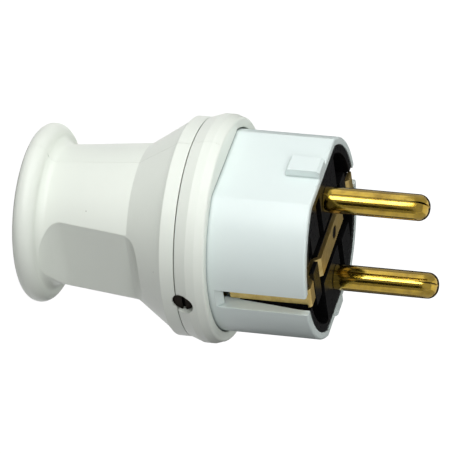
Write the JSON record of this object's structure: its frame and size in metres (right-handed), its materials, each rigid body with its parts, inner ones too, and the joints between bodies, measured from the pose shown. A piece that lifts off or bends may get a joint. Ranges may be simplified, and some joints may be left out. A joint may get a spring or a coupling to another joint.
{
  "type": "type f plug",
  "caption": "Rewirable round mains plug: brass contact pins and side earth contacts in a flatted front shell, a screwed collar, and a waisted grip with a rear flange.",
  "frame": {"origin": "centre of the rear flange's flat back, on which the plug stands", "axes": "+Z along the plug's axis towards the pin tips, X through both pins, Y through both side earth contacts"},
  "size_m": [0.0418, 0.0418, 0.0746],
  "materials": {
    "cover_plastic": "warm white moulded plastic, satin gloss",
    "shell_plastic": "cool white moulded plastic, satin gloss",
    "carrier_plastic": "black moulded plastic, glossy",
    "pin_brass": "rolled brass, polished",
    "strap_brass": "stamped brass, dull",
    "screw_steel": "zinc plated steel",
    "dark_steel": "blackened steel"
  },
  "bodies": {
    "root": {"rear_cover": "cover_plastic", "front_collar": "cover_plastic", "front_shell": "shell_plastic", "pin_carrier": "carrier_plastic", "live_pin": "pin_brass", "neutral_pin": "pin_brass", "earth_strap": "strap_brass", "live_terminal": "strap_brass", "neutral_terminal": "strap_brass", "live_terminal_screw": "screw_steel", "neutral_terminal_screw": "screw_steel", "earth_screw": "dark_steel", "earth_clamp_plate": "screw_steel", "cord_clamp_bar": "carrier_plastic", "cord_clamp_screw_near": "screw_steel", "cord_clamp_screw_far": "screw_steel", "carrier_screw_near": "screw_steel", "carrier_screw_far": "screw_steel", "collar_lock_screw": "dark_steel"}
  },
  "joints": []
}
